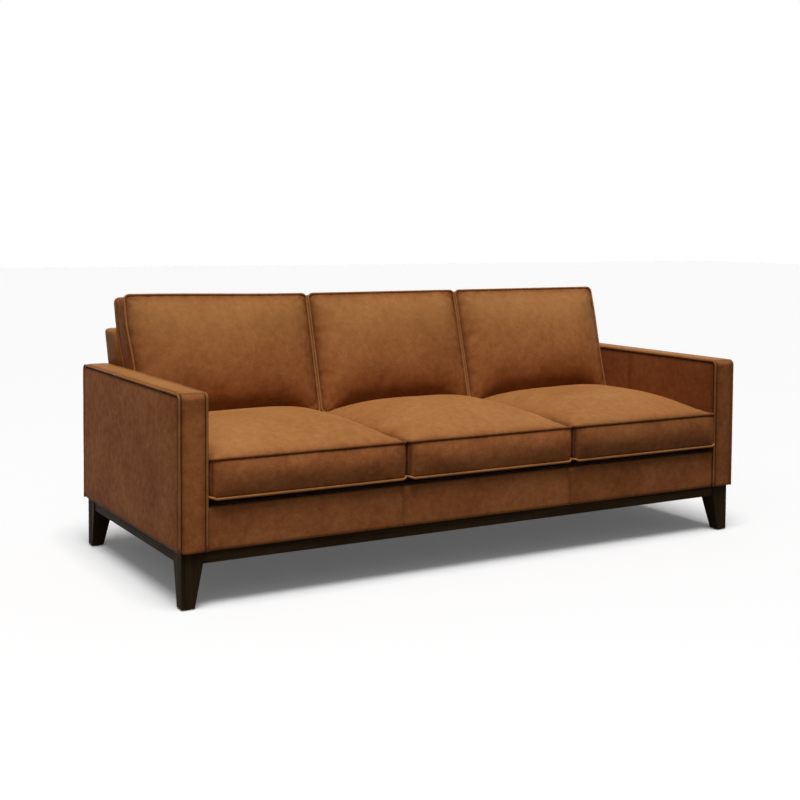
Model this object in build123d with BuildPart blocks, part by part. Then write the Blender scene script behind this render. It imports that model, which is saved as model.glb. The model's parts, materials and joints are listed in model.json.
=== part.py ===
import math
import os

from build123d import *

# A three-seat leather sofa on a dark wooden base with tapered legs.
# Millimetres. X runs along the width, the front faces -Y, +Z is up.
# The origin is on the floor, under the middle of the sofa.

# Overall sizes
width = 2184
depth = 942
arm_height = 640
arm_width = 92
body_bottom = 170
back_height = 765

# Wooden base
leg_setback = 12
leg_top_side = 68
leg_foot_side = 42
glide_thickness = 3
glide_radius = 14
base_rail_height = 37
base_rail_thickness = 25
base_rail_setback = 15
corner_block_reach = 110
corner_block_height = 32
bolt_radius = 4
bolt_length = 60

# Leather covers, each with its thin wadding
panel_thickness = 4
strip_thickness = 6
front_cover_thickness = 3
front_cover_setback = 8
front_cover_height = 128
front_cover_bend = 8
arm_corner_radius = 18
welt_radius = 4

# Timber frame under the leather
arm_frame_width = 62
arm_post_depth = 60
arm_top_rail_height = 32
arm_bottom_rail_height = 60
arm_pad_chamfer = 10
seat_rail_thickness = 20
seat_ledge_depth = 25
seat_ledge_height = 108
rear_rail_front = 235
rear_rail_thickness = 25
stretcher_width = 25
stretcher_height = 60
stretcher_lift = 5

# Seat springs and what lies on them
springs_per_seat = 4
spring_wire = 3.6
spring_bends = 22
spring_half_run = 18
spring_tail = 16
spring_clearance = 0.2
clip_width = 16
clip_height = 8
clip_depth = 14
clip_metal = 2
tie_wire = 2.4
tie_wire_count = 3
spring_pad_thickness = 14
deck_thickness = 3
dust_cover_thickness = 1.5

# Back frame and its covers
back_slope = 16
back_face_at_top = 358
back_corner_radius = 18
back_cover_height = 747
back_inner_start = 300
back_end_start = 600
back_pad_depth = 24
webbing_thickness = 2
webbing_width = 50
webbing_count = 4
back_post_thickness = 25
back_post_count = 4
back_post_height = 712
back_top_rail_front = 405
back_top_rail_top = 745
back_bottom_rail_thickness = 25
back_bottom_rail_height = 60

# Loose cushions
cushion_count = 3
cushion_gap = 1.2
cushion_corner = 20
core_cover = 5
core_margin = 40
seat_clearance = 1
seat_length = 702
seat_overhang = 12
seat_belly = 21
seat_boxing = 122
seat_crown = 72
back_cushion_length = 418
back_cushion_bottom = 445.8
back_cushion_gap = 1
back_belly = 8
back_boxing = 109
back_crown = 46
drawn_in = 4
boxing_swell = 1.5
belly_tuck = 2.6
belly_curve = 0.4
crown_rises = (0, 0.35, 0.65, 0.87, 0.985)
crown_power = 0.4
crown_roundness = 0.8
crown_bow = 20

front = -depth / 2
rear = depth / 2
arm_inside = width / 2 - arm_width
slope_rise = math.tan(math.radians(back_slope))
slope_sin = math.sin(math.radians(back_slope))
slope_cos = math.cos(math.radians(back_slope))
seat_pitch = 2 * arm_inside / cushion_count
cushion_half = seat_pitch / 2 - cushion_gap / 2
deck_top = body_bottom + front_cover_height + deck_thickness / 2
side_names = {-1: "left", 1: "right"}
place_names = ("left", "middle", "right")

os.makedirs("parts", exist_ok=True)


def save(piece, name):
    piece.part.label = name
    export_step(piece.part, f"parts/{name}.step")


def block(x_span, y_span, z_span, mode=Mode.ADD):
    # a plain board between two opposite corners
    middle = [(low + high) / 2 for low, high in (x_span, y_span, z_span)]
    sizes = [abs(high - low) for low, high in (x_span, y_span, z_span)]
    with Locations(tuple(middle)):
        Box(*sizes, mode=mode)


def board(name, x_span, y_span, z_span):
    with BuildPart() as piece:
        block(x_span, y_span, z_span)
    save(piece, name)


def back_face(z, inset=0):
    # Y of the sloping front of the back at height z, moved back by an inset square to it
    return back_face_at_top + (z - back_height) * slope_rise + inset / slope_cos


# Wooden base: four rails between four legs
leg_inner = leg_setback + leg_top_side
base_rail_bottom = body_bottom - base_rail_height
base_rail_inner = base_rail_setback + base_rail_thickness
rail_heights = (base_rail_bottom, body_bottom)
rail_x = (-width / 2 + leg_inner, width / 2 - leg_inner)
rail_y = (front + leg_inner, rear - leg_inner)
board("base_rail_front", rail_x, (front + base_rail_setback, front + base_rail_inner), rail_heights)
board("base_rail_rear", rail_x, (rear - base_rail_inner, rear - base_rail_setback), rail_heights)
for side, side_name in side_names.items():
    rail_outer = side * (width / 2 - base_rail_setback)
    rail_inside = side * (width / 2 - base_rail_inner)
    board(f"base_rail_{side_name}", (rail_outer, rail_inside), rail_y, rail_heights)

leg_centre_x = width / 2 - leg_setback - leg_top_side / 2
leg_centre_y = depth / 2 - leg_setback - leg_top_side / 2
foot_shift = (leg_top_side - leg_foot_side) / 2
corners = {
    "front_left": (-1, -1),
    "front_right": (1, -1),
    "rear_left": (-1, 1),
    "rear_right": (1, 1),
}
bolt_bottom = body_bottom - bolt_length / 2

# Each leg is upright on its two outer faces and tapers on its two inner faces
for corner_name, (side_x, side_y) in corners.items():
    centre = (side_x * leg_centre_x, side_y * leg_centre_y)
    foot = (side_x * (leg_centre_x + foot_shift), side_y * (leg_centre_y + foot_shift))
    with BuildPart() as leg:
        with BuildSketch(Plane.XY.offset(glide_thickness)):
            with Locations(foot):
                Rectangle(leg_foot_side, leg_foot_side)
        with BuildSketch(Plane.XY.offset(base_rail_bottom)):
            with Locations(centre):
                Rectangle(leg_top_side, leg_top_side)
        loft()
        with BuildSketch(Plane.XY.offset(base_rail_bottom)):
            with Locations(centre):
                Rectangle(leg_top_side, leg_top_side)
        extrude(amount=base_rail_height)
        with BuildSketch(Plane.XY.offset(bolt_bottom)):
            with Locations(centre):
                Circle(bolt_radius)
        extrude(amount=bolt_length, mode=Mode.SUBTRACT)
    save(leg, f"leg_{corner_name}")

leg_spots = [(side_x * leg_centre_x, side_y * leg_centre_y) for side_x, side_y in corners.values()]
foot_x = leg_centre_x + foot_shift
foot_y = leg_centre_y + foot_shift
with BuildPart() as glides:
    with BuildSketch(Plane.XY):
        with Locations(*[(side_x * foot_x, side_y * foot_y) for side_x, side_y in corners.values()]):
            Circle(glide_radius)
    extrude(amount=glide_thickness)
save(glides, "foot_glides")

with BuildPart() as bolts:
    with BuildSketch(Plane.XY.offset(bolt_bottom)):
        with Locations(*leg_spots):
            Circle(bolt_radius)
    extrude(amount=bolt_length)
save(bolts, "leg_bolts")

# Corner blocks brace the rails behind each leg
with BuildPart() as corner_blocks:
    for side_x, side_y in corners.values():
        with BuildSketch(Plane.XY.offset(base_rail_bottom)):
            with BuildLine():
                near = base_rail_inner
                far = base_rail_inner + corner_block_reach
                outline = [
                    (leg_inner, near),
                    (far, near),
                    (near, far),
                    (near, leg_inner),
                    (leg_inner, leg_inner),
                ]
                Polyline(
                    *[(side_x * (width / 2 - x), side_y * (depth / 2 - y)) for x, y in outline],
                    close=True,
                )
            make_face()
        extrude(amount=corner_block_height)
save(corner_blocks, "corner_blocks")

# Arms: timber frame, foam pad, two leather panels, a strip round the edge and piping
frame_half = arm_frame_width / 2
arm_centre = width / 2 - arm_width / 2
post_y = depth / 2 - strip_thickness
panel_inset = 2 * welt_radius
arm_frame_top = arm_height - strip_thickness - (arm_width - 2 * panel_thickness - arm_frame_width) / 2
arm_post_top = arm_frame_top - arm_top_rail_height

for side, side_name in side_names.items():
    frame_x = (side * arm_centre - frame_half, side * arm_centre + frame_half)

    with BuildPart() as posts:
        for end in (-1, 1):
            post_span = (end * post_y, end * (post_y - arm_post_depth))
            block(frame_x, post_span, (body_bottom, arm_post_top))
        with BuildSketch(Plane.XY.offset(body_bottom)):
            with Locations(*[spot for spot in leg_spots if spot[0] * side > 0]):
                Circle(bolt_radius)
        extrude(amount=bolt_length / 2, mode=Mode.SUBTRACT)
    save(posts, f"arm_posts_{side_name}")

    top_rail_y = post_y - panel_thickness
    board(f"arm_top_rail_{side_name}", frame_x, (-top_rail_y, top_rail_y), (arm_post_top, arm_frame_top))
    between_posts = (-post_y + arm_post_depth, post_y - arm_post_depth)
    bottom_rail_heights = (body_bottom, body_bottom + arm_bottom_rail_height)
    board(f"arm_bottom_rail_{side_name}", frame_x, between_posts, bottom_rail_heights)

    # the pad is a channel that wraps the frame on both sides and over the top
    pad_half = arm_width / 2 - panel_thickness
    pad_top = arm_height - strip_thickness
    pad_length = depth - 2 * arm_corner_radius - 2 * panel_thickness
    with BuildPart() as pad:
        with BuildSketch(Plane.XZ.offset(-pad_length / 2)) as pad_section:
            with Locations((side * arm_centre, (body_bottom + pad_top) / 2)):
                Rectangle(2 * pad_half, pad_top - body_bottom)
            upper = pad_section.vertices().group_by(Axis.Y)[-1]
            chamfer(upper, length=arm_pad_chamfer)
            with Locations((side * arm_centre, (body_bottom + arm_frame_top) / 2)):
                Rectangle(arm_frame_width, arm_frame_top - body_bottom, mode=Mode.SUBTRACT)
        extrude(amount=pad_length)
    save(pad, f"arm_pad_{side_name}")

    # the outer and inner panels stop short of the edge, where the piping runs
    faces = {"outer": side * (width / 2 - panel_thickness), "inner": side * arm_inside}
    for face_name, face_x in faces.items():
        with BuildPart() as panel:
            with BuildSketch(Plane.YZ.offset(face_x)) as panel_outline:
                with Locations((0, (body_bottom + arm_height - panel_inset) / 2)):
                    Rectangle(depth - 2 * panel_inset, arm_height - panel_inset - body_bottom)
                top_corners = panel_outline.vertices().group_by(Axis.Y)[-1]
                fillet(top_corners, radius=arm_corner_radius - panel_inset)
            extrude(amount=side * panel_thickness)
        save(panel, f"arm_{face_name}_panel_{side_name}")

    # the strip runs up the front, over the top and down the rear
    strip_half = arm_width / 2 - panel_inset
    with BuildPart() as strip:
        with BuildSketch(Plane.YZ.offset(side * arm_centre - strip_half)) as strip_outline:
            with Locations((0, (body_bottom + arm_height) / 2)):
                Rectangle(depth, arm_height - body_bottom)
            top_corners = strip_outline.vertices().group_by(Axis.Y)[-1]
            fillet(top_corners, radius=arm_corner_radius)
            with BuildSketch(mode=Mode.SUBTRACT) as strip_hollow:
                hollow_top = arm_height - strip_thickness
                with Locations((0, (body_bottom + hollow_top) / 2)):
                    Rectangle(depth - 2 * strip_thickness, hollow_top - body_bottom)
                inner_corners = strip_hollow.vertices().group_by(Axis.Y)[-1]
                fillet(inner_corners, radius=arm_corner_radius - strip_thickness)
        extrude(amount=2 * strip_half)
    save(strip, f"arm_strip_{side_name}")

    welt_y = depth / 2 - welt_radius
    welt_top = arm_height - welt_radius
    with BuildPart() as welts:
        for edge in (-1, 1):
            welt_x = side * arm_centre + edge * (arm_width / 2 - welt_radius)
            with BuildLine(Plane.YZ.offset(welt_x)) as welt_path:
                FilletPolyline(
                    (-welt_y, body_bottom),
                    (-welt_y, welt_top),
                    (welt_y, welt_top),
                    (welt_y, body_bottom),
                    radius=arm_corner_radius - welt_radius,
                )
            with BuildSketch(Plane(origin=welt_path.line @ 0, z_dir=welt_path.line % 0)) as welt_section:
                Circle(welt_radius)
            sweep(sections=welt_section.sketch, path=welt_path.line)
    save(welts, f"arm_welts_{side_name}")

# Front rail cover: three leather panels, each bent over the top of the rail
cover_front = front + front_cover_setback
cover_back = cover_front + front_cover_thickness
cover_top = body_bottom + front_cover_height
ledge_front = cover_back + seat_rail_thickness
for place, place_name in enumerate(place_names):
    panel_start = -arm_inside + place * seat_pitch
    with BuildPart() as front_panel:
        with BuildSketch(Plane.YZ.offset(panel_start)):
            with BuildLine():
                Polyline(
                    (cover_front, body_bottom),
                    (cover_front, cover_top),
                    (ledge_front, cover_top),
                    (ledge_front, cover_top - front_cover_thickness),
                    (cover_back, cover_top - front_cover_thickness),
                    (cover_back, body_bottom),
                    close=True,
                )
            make_face()
        extrude(amount=seat_pitch)
        panel_middle = panel_start + seat_pitch / 2
        outer_bend = (panel_middle, cover_front, cover_top)
        inner_bend = (panel_middle, cover_back, cover_top - front_cover_thickness)
        fillet(front_panel.edges().sort_by_distance(outer_bend)[0], radius=front_cover_bend)
        inner_radius = front_cover_bend - front_cover_thickness
        fillet(front_panel.edges().sort_by_distance(inner_bend)[0], radius=inner_radius)
    save(front_panel, f"front_panel_{place_name}")

# Seat frame: front rail with a ledge for the springs, rear rail and two stretchers
ledge_back = ledge_front + seat_ledge_depth
ledge_top = body_bottom + seat_ledge_height
rail_top = cover_top - front_cover_thickness
with BuildPart() as seat_rail_front:
    block((-arm_inside, arm_inside), (cover_back, ledge_front), (body_bottom, rail_top))
    block((-arm_inside, arm_inside), (ledge_front, ledge_back), (body_bottom, ledge_top))
    nose = seat_rail_front.edges().sort_by_distance((0, cover_back, rail_top))[0]
    fillet(nose, radius=front_cover_bend - front_cover_thickness)
save(seat_rail_front, "seat_rail_front")

rear_rail_back = rear_rail_front + rear_rail_thickness
rear_rail_span = (rear_rail_front, rear_rail_back)
board("seat_rail_rear", (-arm_inside, arm_inside), rear_rail_span, (body_bottom, ledge_top))

with BuildPart() as stretchers:
    for side in side_names:
        stretcher_x = side * seat_pitch / 2
        block(
            (stretcher_x - stretcher_width / 2, stretcher_x + stretcher_width / 2),
            (ledge_back, rear_rail_front),
            (body_bottom + stretcher_lift, body_bottom + stretcher_lift + stretcher_height),
        )
save(stretchers, "seat_stretchers")

# Sinuous springs run from the front ledge to the rear rail in even zigzags
spring_start = ledge_front + spring_clearance + spring_wire / 2
spring_end = rear_rail_back - spring_clearance
spring_radius = (spring_end - spring_start - 2 * spring_tail) / (2 * (spring_bends + 1))
spring_height = ledge_top + spring_wire / 2 + spring_clearance
spring_count = springs_per_seat * cushion_count
spring_step = 2 * arm_inside / spring_count
spring_places = [-arm_inside + spring_step * (index + 0.5) for index in range(spring_count)]

with BuildPart() as springs:
    with BuildLine(Plane.XY.offset(spring_height)) as zigzag:
        level = spring_start + spring_tail
        Line((0, spring_start), (0, level))
        RadiusArc((0, level), (spring_radius, level + spring_radius), spring_radius)
        level += spring_radius
        Line((spring_radius, level), (spring_half_run, level))
        heading = 1
        for bend in range(spring_bends):
            turn_x = heading * spring_half_run
            ThreePointArc(
                (turn_x, level),
                (turn_x + heading * spring_radius, level + spring_radius),
                (turn_x, level + 2 * spring_radius),
            )
            level += 2 * spring_radius
            heading = -heading
            run_end = heading * spring_half_run
            if bend == spring_bends - 1:
                run_end = -heading * spring_radius
            Line((turn_x, level), (run_end, level))
        RadiusArc((run_end, level), (0, level + spring_radius), -heading * spring_radius)
        level += spring_radius
        Line((0, level), (0, level + spring_tail))
    with BuildSketch(Plane(origin=zigzag.line @ 0, z_dir=zigzag.line % 0)) as wire_section:
        Circle(spring_wire / 2)
    one_spring = sweep(sections=wire_section.sketch, path=zigzag.line, mode=Mode.PRIVATE)
    with Locations(*[(x, 0, 0) for x in spring_places]):
        add(one_spring)
save(springs, "seat_springs")

# Clips hold the spring ends down on the ledge and on the rear rail
clip_starts = (ledge_front + clip_metal, rear_rail_back - clip_metal - clip_depth)
with BuildPart() as clips:
    for clip_start in clip_starts:
        with BuildSketch(Plane.XZ.offset(-clip_start - clip_depth)):
            with Locations(*[(x, ledge_top + clip_height / 2) for x in spring_places]):
                Rectangle(clip_width, clip_height)
            with Locations(*[(x, ledge_top + (clip_height - clip_metal) / 2) for x in spring_places]):
                Rectangle(clip_width - 2 * clip_metal, clip_height - clip_metal, mode=Mode.SUBTRACT)
        extrude(amount=clip_depth)
save(clips, "spring_clips")

# Tie wires run across under the springs
tie_height = spring_height - spring_wire / 2 - spring_clearance - tie_wire / 2
tie_step = (rear_rail_front - ledge_back) / (tie_wire_count + 1)
with BuildPart() as tie_wires:
    with BuildSketch(Plane.YZ.offset(-arm_inside)):
        with Locations(*[(ledge_back + tie_step * (row + 1), tie_height) for row in range(tie_wire_count)]):
            Circle(tie_wire / 2)
    extrude(amount=2 * arm_inside)
save(tie_wires, "spring_tie_wires")

# Felt pad over the springs, deck cloth over the felt, dust cover under the frame
deck_bottom = deck_top - deck_thickness
pad_span = (ledge_back, rear_rail_front)
board("spring_pad", (-arm_inside, arm_inside), pad_span, (deck_bottom - spring_pad_thickness, deck_bottom))
deck_span = (ledge_front, back_face(deck_bottom))
board("deck_cloth", (-arm_inside, arm_inside), deck_span, (deck_bottom, deck_top))
dust_x = width / 2 - base_rail_inner
dust_y = depth / 2 - base_rail_inner
with BuildPart() as dust_cover:
    block((-dust_x, dust_x), (-dust_y, dust_y), (body_bottom - dust_cover_thickness, body_bottom))
    for side_x, side_y in corners.values():
        notch_x = (side_x * dust_x, side_x * (width / 2 - leg_inner))
        notch_y = (side_y * dust_y, side_y * (depth / 2 - leg_inner))
        block(notch_x, notch_y, (body_bottom - dust_cover_thickness, body_bottom), mode=Mode.SUBTRACT)
save(dust_cover, "dust_cover")

# Back frame: gusset posts, top and bottom rails, webbing and a foam pad
frame_inset = panel_thickness + back_pad_depth + webbing_thickness
back_inside = rear - panel_thickness
post_start_z = back_height + (rear_rail_back - frame_inset / slope_cos - back_face_at_top) / slope_rise
bottom_rail_front = back_inside - back_bottom_rail_thickness
bottom_rail_top = body_bottom + back_bottom_rail_height
post_reach = arm_inside - panel_thickness - back_post_thickness / 2
post_step = 2 * post_reach / (back_post_count - 1)
with BuildPart() as back_posts:
    for index in range(back_post_count):
        post_middle = -post_reach + index * post_step
        with BuildSketch(Plane.YZ.offset(post_middle - back_post_thickness / 2)):
            with BuildLine():
                Polyline(
                    (rear_rail_back, body_bottom),
                    (bottom_rail_front, body_bottom),
                    (bottom_rail_front, bottom_rail_top),
                    (back_inside, bottom_rail_top),
                    (back_inside, back_post_height),
                    (back_face(back_post_height, frame_inset), back_post_height),
                    (rear_rail_back, post_start_z),
                    close=True,
                )
            make_face()
        extrude(amount=back_post_thickness)
save(back_posts, "back_posts")

rail_reach = arm_inside - panel_thickness
top_rail_span = (back_top_rail_front, back_inside)
board("back_top_rail", (-rail_reach, rail_reach), top_rail_span, (back_post_height, back_top_rail_top))
bottom_rail_span = (bottom_rail_front, back_inside)
board("back_bottom_rail", (-rail_reach, rail_reach), bottom_rail_span, (body_bottom, bottom_rail_top))

webbing_low = post_start_z + webbing_width
webbing_step = (back_post_height - webbing_width - webbing_low) / (webbing_count - 1)
with BuildPart() as webbing:
    for row in range(webbing_count):
        strap_z = webbing_low + row * webbing_step
        strap_y = back_face(strap_z, panel_thickness + back_pad_depth)
        strap_plane = Plane(
            origin=(0, strap_y, strap_z),
            x_dir=(1, 0, 0),
            z_dir=(0, slope_cos, -slope_sin),
        )
        with BuildSketch(strap_plane):
            Rectangle(2 * rail_reach, webbing_width)
        extrude(amount=webbing_thickness)
save(webbing, "back_webbing")


def sloping_slab(low_z, high_z, near_inset, far_inset, reach, mode=Mode.ADD):
    # a slab along the sloping front of the back, between two depths
    with BuildSketch(Plane.YZ.offset(-reach)) as section:
        with BuildLine():
            Polyline(
                (back_face(low_z, near_inset), low_z),
                (back_face(low_z, far_inset), low_z),
                (back_face(high_z, far_inset), high_z),
                (back_face(high_z, near_inset), high_z),
                close=True,
            )
        make_face()
    extrude(section.sketch, amount=2 * reach, mode=mode)


with BuildPart() as back_pad:
    pad_back = panel_thickness + back_pad_depth
    sloping_slab(back_inner_start, back_post_height, panel_thickness, pad_back, rail_reach)
save(back_pad, "back_pad")


def back_cover(low_z):
    # the whole leather skin of the back, open underneath, with rounded top edges
    with BuildSketch(Plane.YZ.offset(-arm_inside)) as outside:
        with BuildLine():
            Polyline(
                (back_face(low_z), low_z),
                (rear, low_z),
                (rear, back_height),
                (back_face(back_height), back_height),
                close=True,
            )
        make_face()
        fillet(outside.vertices().group_by(Axis.Y)[-1], radius=back_corner_radius)
    extrude(outside.sketch, amount=2 * arm_inside)
    inner_top = back_height - panel_thickness
    with BuildSketch(Plane.YZ.offset(-rail_reach)) as inside:
        with BuildLine():
            Polyline(
                (back_face(low_z, panel_thickness), low_z),
                (back_inside, low_z),
                (back_inside, inner_top),
                (back_face(inner_top, panel_thickness), inner_top),
                close=True,
            )
        make_face()
        fillet(inside.vertices().group_by(Axis.Y)[-1], radius=back_corner_radius - panel_thickness)
    extrude(inside.sketch, amount=2 * rail_reach, mode=Mode.SUBTRACT)


outer_spans = ((-arm_inside, arm_inside), (back_inside, rear), (body_bottom, back_cover_height))
with BuildPart() as back_outer_panel:
    back_cover(body_bottom)
    block(*outer_spans, mode=Mode.INTERSECT)
save(back_outer_panel, "back_outer_panel")

with BuildPart() as back_inner_panel:
    back_cover(body_bottom)
    sloping_slab(back_inner_start, back_cover_height, 0, panel_thickness, arm_inside, mode=Mode.INTERSECT)
save(back_inner_panel, "back_inner_panel")

with BuildPart() as back_edge_strip:
    back_cover(back_end_start)
    block(*outer_spans, mode=Mode.SUBTRACT)
    sloping_slab(back_inner_start, back_cover_height, 0, panel_thickness, arm_inside, mode=Mode.SUBTRACT)
save(back_edge_strip, "back_edge_strip")


def cushion_outline(plane, half_x, half_y, corner, bow):
    # a rounded rectangle whose four sides bow in or out between the corners
    run_x = half_x - corner
    run_y = half_y - corner
    mid = corner * math.sqrt(0.5)
    with BuildSketch(plane) as outline:
        with BuildLine():
            for side in (1, -1):
                side_start = Vector(side * half_x, -side * run_y)
                side_end = Vector(side * half_x, side * run_y)
                ThreePointArc(side_start, (side * (half_x + bow), 0), side_end)
                end_start = Vector(side * run_x, side * half_y)
                end_stop = Vector(-side * run_x, side * half_y)
                ThreePointArc(side_end, (side * (run_x + mid), side * (run_y + mid)), end_start)
                ThreePointArc(end_start, (0, side * (half_y + bow)), end_stop)
                next_side = Vector(-side * half_x, side * run_y)
                ThreePointArc(end_stop, (-side * (run_x + mid), side * (run_y + mid)), next_side)
        make_face()
    return outline.sketch


def cushion_form(plane, half_x, half_y, belly, boxing, crown):
    # belly under the lower seam, boxing between the seams, crown above the upper seam
    high_seam = belly + boxing
    belly_levels = (
        (0, belly_tuck * belly, -1),
        (belly * belly_curve, drawn_in + belly * (1 - belly_curve), -1),
        (belly, drawn_in, -1),
    )
    boxing_levels = (
        (belly, drawn_in, -1),
        (belly + boxing / 2, boxing_swell, 1),
        (high_seam, drawn_in, -1),
    )
    for levels in (belly_levels, boxing_levels):
        outlines = []
        for height, draw, bow in levels:
            level = plane.offset(height)
            swell = bow * boxing_swell
            outlines.append(cushion_outline(level, half_x - draw, half_y - draw, cushion_corner, swell))
        loft(sections=outlines)

    crown_x = half_x - drawn_in
    crown_y = half_y - drawn_in
    outlines = []
    for rise in crown_rises:
        shrink = (1 - rise) ** crown_power
        corner = cushion_corner + rise * (crown_roundness * min(crown_x, crown_y) * shrink - cushion_corner)
        level = plane.offset(high_seam + rise * crown)
        bow = rise * crown_bow * shrink - boxing_swell * (1 - rise)
        outlines.append(cushion_outline(level, crown_x * shrink, crown_y * shrink, corner, bow))
    loft(sections=outlines)


# Each cushion is a leather cover with its fibre wrap, round a foam core
seat_bottom = deck_top + seat_clearance
seat_middle_y = front - seat_overhang + seat_length / 2
back_middle_z = back_cushion_bottom + back_cushion_length / 2 * slope_cos
back_middle_y = back_face(back_middle_z) - back_cushion_gap / slope_cos
for place, place_name in enumerate(place_names):
    middle_x = (place - (cushion_count - 1) / 2) * seat_pitch
    seat_plane = Plane(origin=(middle_x, seat_middle_y, seat_bottom))
    back_plane = Plane(
        origin=(middle_x, back_middle_y, back_middle_z),
        x_dir=(1, 0, 0),
        z_dir=(0, -slope_cos, slope_sin),
    )
    forms = {
        "seat": (seat_plane, cushion_half, seat_length / 2, seat_belly, seat_boxing, seat_crown),
        "back": (back_plane, cushion_half, back_cushion_length / 2, back_belly, back_boxing, back_crown),
    }
    for kind, (plane, half_x, half_y, belly, boxing, crown) in forms.items():
        with BuildPart() as core:
            with BuildSketch(plane.offset(core_cover)):
                RectangleRounded(2 * (half_x - core_margin), 2 * (half_y - core_margin), cushion_corner)
            extrude(amount=belly + boxing - core_cover)
        save(core, f"{kind}_core_{place_name}")
        with BuildPart() as cover:
            cushion_form(plane, half_x, half_y, belly, boxing, crown)
            add(core.part, mode=Mode.SUBTRACT)
        save(cover, f"{kind}_cushion_{place_name}")
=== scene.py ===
import json
import math

import bmesh
import bpy
from mathutils import Matrix, Vector, noise

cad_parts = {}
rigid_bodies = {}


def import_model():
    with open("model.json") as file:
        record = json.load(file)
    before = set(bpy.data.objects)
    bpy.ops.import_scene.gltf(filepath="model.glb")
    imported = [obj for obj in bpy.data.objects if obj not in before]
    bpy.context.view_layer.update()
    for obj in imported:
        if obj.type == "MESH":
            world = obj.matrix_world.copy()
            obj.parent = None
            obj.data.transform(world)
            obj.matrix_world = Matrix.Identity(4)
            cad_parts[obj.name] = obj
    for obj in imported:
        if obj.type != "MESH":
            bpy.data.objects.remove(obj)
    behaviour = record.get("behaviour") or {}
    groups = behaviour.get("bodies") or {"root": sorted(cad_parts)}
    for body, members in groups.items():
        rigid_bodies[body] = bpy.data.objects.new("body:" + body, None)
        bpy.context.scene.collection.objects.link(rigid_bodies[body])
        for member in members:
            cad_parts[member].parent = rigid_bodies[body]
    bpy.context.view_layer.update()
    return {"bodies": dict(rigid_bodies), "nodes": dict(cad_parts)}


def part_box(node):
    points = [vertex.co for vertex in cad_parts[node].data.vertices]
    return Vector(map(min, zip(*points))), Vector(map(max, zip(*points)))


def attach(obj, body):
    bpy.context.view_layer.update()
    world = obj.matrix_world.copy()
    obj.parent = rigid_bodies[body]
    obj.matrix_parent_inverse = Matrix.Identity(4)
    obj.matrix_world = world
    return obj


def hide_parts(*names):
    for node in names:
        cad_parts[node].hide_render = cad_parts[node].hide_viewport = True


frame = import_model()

scene = bpy.context.scene
scene.view_settings.view_transform = "Standard"
keptObjects = set(frame["nodes"].values()) | set(frame["bodies"].values())
for leftover in [thing for thing in bpy.data.objects if thing not in keptObjects]:
    bpy.data.objects.remove(leftover)
print("frame loaded with", len(frame["nodes"]), "nodes")

places = ("left", "middle", "right")
sideOf = {"left": -1, "right": 1}


# camera, set to the photograph's viewing angle
cameraSettings = {
    "place": Vector((-2.4126, -3.9933, 1.1282)),
    "yaw": math.radians(30.30),
    "pitch": math.radians(2.99),
    "roll": math.radians(0.37),
    "lens": 58.14,
    "shiftUp": -0.132,
}


def makeCamera(settings):
    yaw = settings["yaw"]
    pitch = settings["pitch"]
    roll = settings["roll"]
    ahead = Vector((math.sin(yaw) * math.cos(pitch), math.cos(yaw) * math.cos(pitch), -math.sin(pitch)))
    level = Vector((math.cos(yaw), -math.sin(yaw), 0))
    upright = level.cross(ahead)
    right = level * math.cos(roll) + upright * math.sin(roll)
    up = upright * math.cos(roll) - level * math.sin(roll)
    turn = Matrix((right, up, -ahead)).transposed().to_4x4()
    camera = bpy.data.objects.new("camera", bpy.data.cameras.new("camera"))
    camera.matrix_world = Matrix.Translation(settings["place"]) @ turn
    camera.data.lens = settings["lens"]
    camera.data.shift_y = settings["shiftUp"]
    scene.collection.objects.link(camera)
    scene.camera = camera


makeCamera(cameraSettings)
print("camera set")


# node helpers
def newMaterial(name):
    material = bpy.data.materials.new(name)
    material.use_nodes = True
    material.node_tree.nodes.clear()
    return material


def addNode(material, kind, inputs=None, **properties):
    node = material.node_tree.nodes.new(kind)
    for key, value in properties.items():
        setattr(node, key, value)
    for key, value in (inputs or {}).items():
        node.inputs[key].default_value = value
    return node


def link(material, fromSocket, toSocket):
    material.node_tree.links.new(fromSocket, toSocket)


def mathNode(material, operation, first, second):
    node = addNode(material, "ShaderNodeMath", operation=operation)
    for index, value in enumerate((first, second)):
        if isinstance(value, (int, float)):
            node.inputs[index].default_value = value
        else:
            link(material, value, node.inputs[index])
    return node.outputs[0]


def weightedSum(material, *parts):
    # parts: pairs of a socket and its weight
    total = None
    for socket, weight in parts:
        part = mathNode(material, "MULTIPLY", socket, weight)
        total = part if total is None else mathNode(material, "ADD", total, part)
    return total


def rampNode(material, factor, stops, tones):
    node = addNode(material, "ShaderNodeValToRGB")
    ramp = node.color_ramp
    while len(ramp.elements) < len(stops):
        ramp.elements.new(0.5)
    for element, stop, tone in zip(ramp.elements, stops, tones):
        element.position = stop
        element.color = (*tone, 1)
    link(material, factor, node.inputs["Fac"])
    return node.outputs["Color"]


def objectPlace(material, offset=(0, 0, 0), stretch=(1, 1, 1)):
    coordinates = addNode(material, "ShaderNodeTexCoord")
    mapping = addNode(material, "ShaderNodeMapping", {"Location": offset, "Scale": stretch})
    link(material, coordinates.outputs["Object"], mapping.inputs["Vector"])
    return mapping.outputs["Vector"]


def noiseNode(material, place, scale, detail=3.0, roughness=0.5, distortion=0.0):
    node = addNode(
        material,
        "ShaderNodeTexNoise",
        {"Scale": scale, "Detail": detail, "Roughness": roughness, "Distortion": distortion},
    )
    link(material, place, node.inputs["Vector"])
    return node.outputs["Fac"]


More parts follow.
